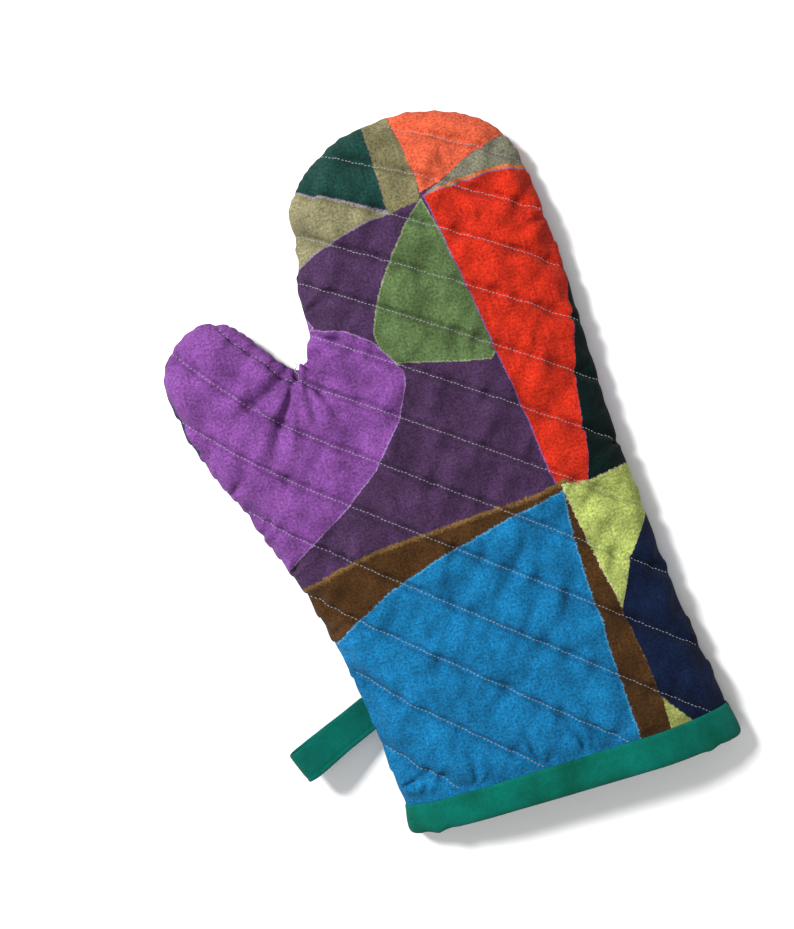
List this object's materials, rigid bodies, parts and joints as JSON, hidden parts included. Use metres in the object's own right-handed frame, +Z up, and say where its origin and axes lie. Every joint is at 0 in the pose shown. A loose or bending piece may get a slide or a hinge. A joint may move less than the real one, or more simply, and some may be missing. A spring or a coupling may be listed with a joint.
{
  "type": "oven mitt",
  "caption": "Quilted cotton oven mitt with a thumb, a bound cuff and a sewn tape loop to hang it by.",
  "frame": {"origin": "middle of the box's base: the table that the mitt lies on, under the box's centre", "axes": "+Y from the cuff to the fingertips, +Z up from the back panel to the palm panel, thumb on the -X side"},
  "size_m": [0.2144, 0.33, 0.0292],
  "materials": {
    "front_print": "printed plain-weave cotton",
    "back_print": "printed plain-weave cotton",
    "batting": "needled polyester fill",
    "lining_cotton": "plain-weave cotton",
    "quilting_thread": "spun polyester thread",
    "binding_tape": "folded bias tape",
    "loop_tape": "folded bias tape, doubled"
  },
  "bodies": {
    "hand": {"front_shell_hand": "front_print", "back_shell_hand": "back_print", "front_batting_hand": "batting", "back_batting_hand": "batting", "front_lining_hand": "lining_cotton", "back_lining_hand": "lining_cotton", "cuff_binding": "binding_tape", "quilting_row_2_hand": "quilting_thread", "quilting_row_3_hand": "quilting_thread", "quilting_row_4_hand": "quilting_thread", "quilting_row_5_hand": "quilting_thread", "quilting_row_6_hand": "quilting_thread", "quilting_row_7_hand": "quilting_thread", "quilting_row_8_hand": "quilting_thread", "quilting_row_9_hand": "quilting_thread", "quilting_row_10_hand": "quilting_thread"},
    "fingers": {"front_shell_fingers": "front_print", "back_shell_fingers": "back_print", "front_batting_fingers": "batting", "back_batting_fingers": "batting", "front_lining_fingers": "lining_cotton", "back_lining_fingers": "lining_cotton", "quilting_row_9_fingers": "quilting_thread", "quilting_row_10_fingers": "quilting_thread", "quilting_row_11_fingers": "quilting_thread", "quilting_row_12_fingers": "quilting_thread", "quilting_row_13_fingers": "quilting_thread"},
    "thumb": {"front_shell_thumb": "front_print", "back_shell_thumb": "back_print", "front_batting_thumb": "batting", "back_batting_thumb": "batting", "front_lining_thumb": "lining_cotton", "back_lining_thumb": "lining_cotton", "quilting_row_5_thumb": "quilting_thread", "quilting_row_6_thumb": "quilting_thread"},
    "loop": {"hanging_loop": "loop_tape"}
  },
  "joints": [
    {"name": "finger_fold", "type": "hinge", "parent": "hand", "child": "fingers", "pos_m": [0.02873, 0.07131, 0.0296], "axis": [1, 0, 0], "range_deg": [0, 70]},
    {"name": "thumb_fold", "type": "hinge", "parent": "hand", "child": "thumb", "pos_m": [-0.04377, 0.06231, 0.0296], "axis": [0.1772, 0.9842, 0], "range_deg": [0, 60]},
    {"name": "loop_swing", "type": "hinge", "parent": "hand", "child": "loop", "pos_m": [-0.05907, -0.10539, 0.0095], "axis": [-0.0727, 0.9974, 0], "range_deg": [-45, 45]}
  ]
}
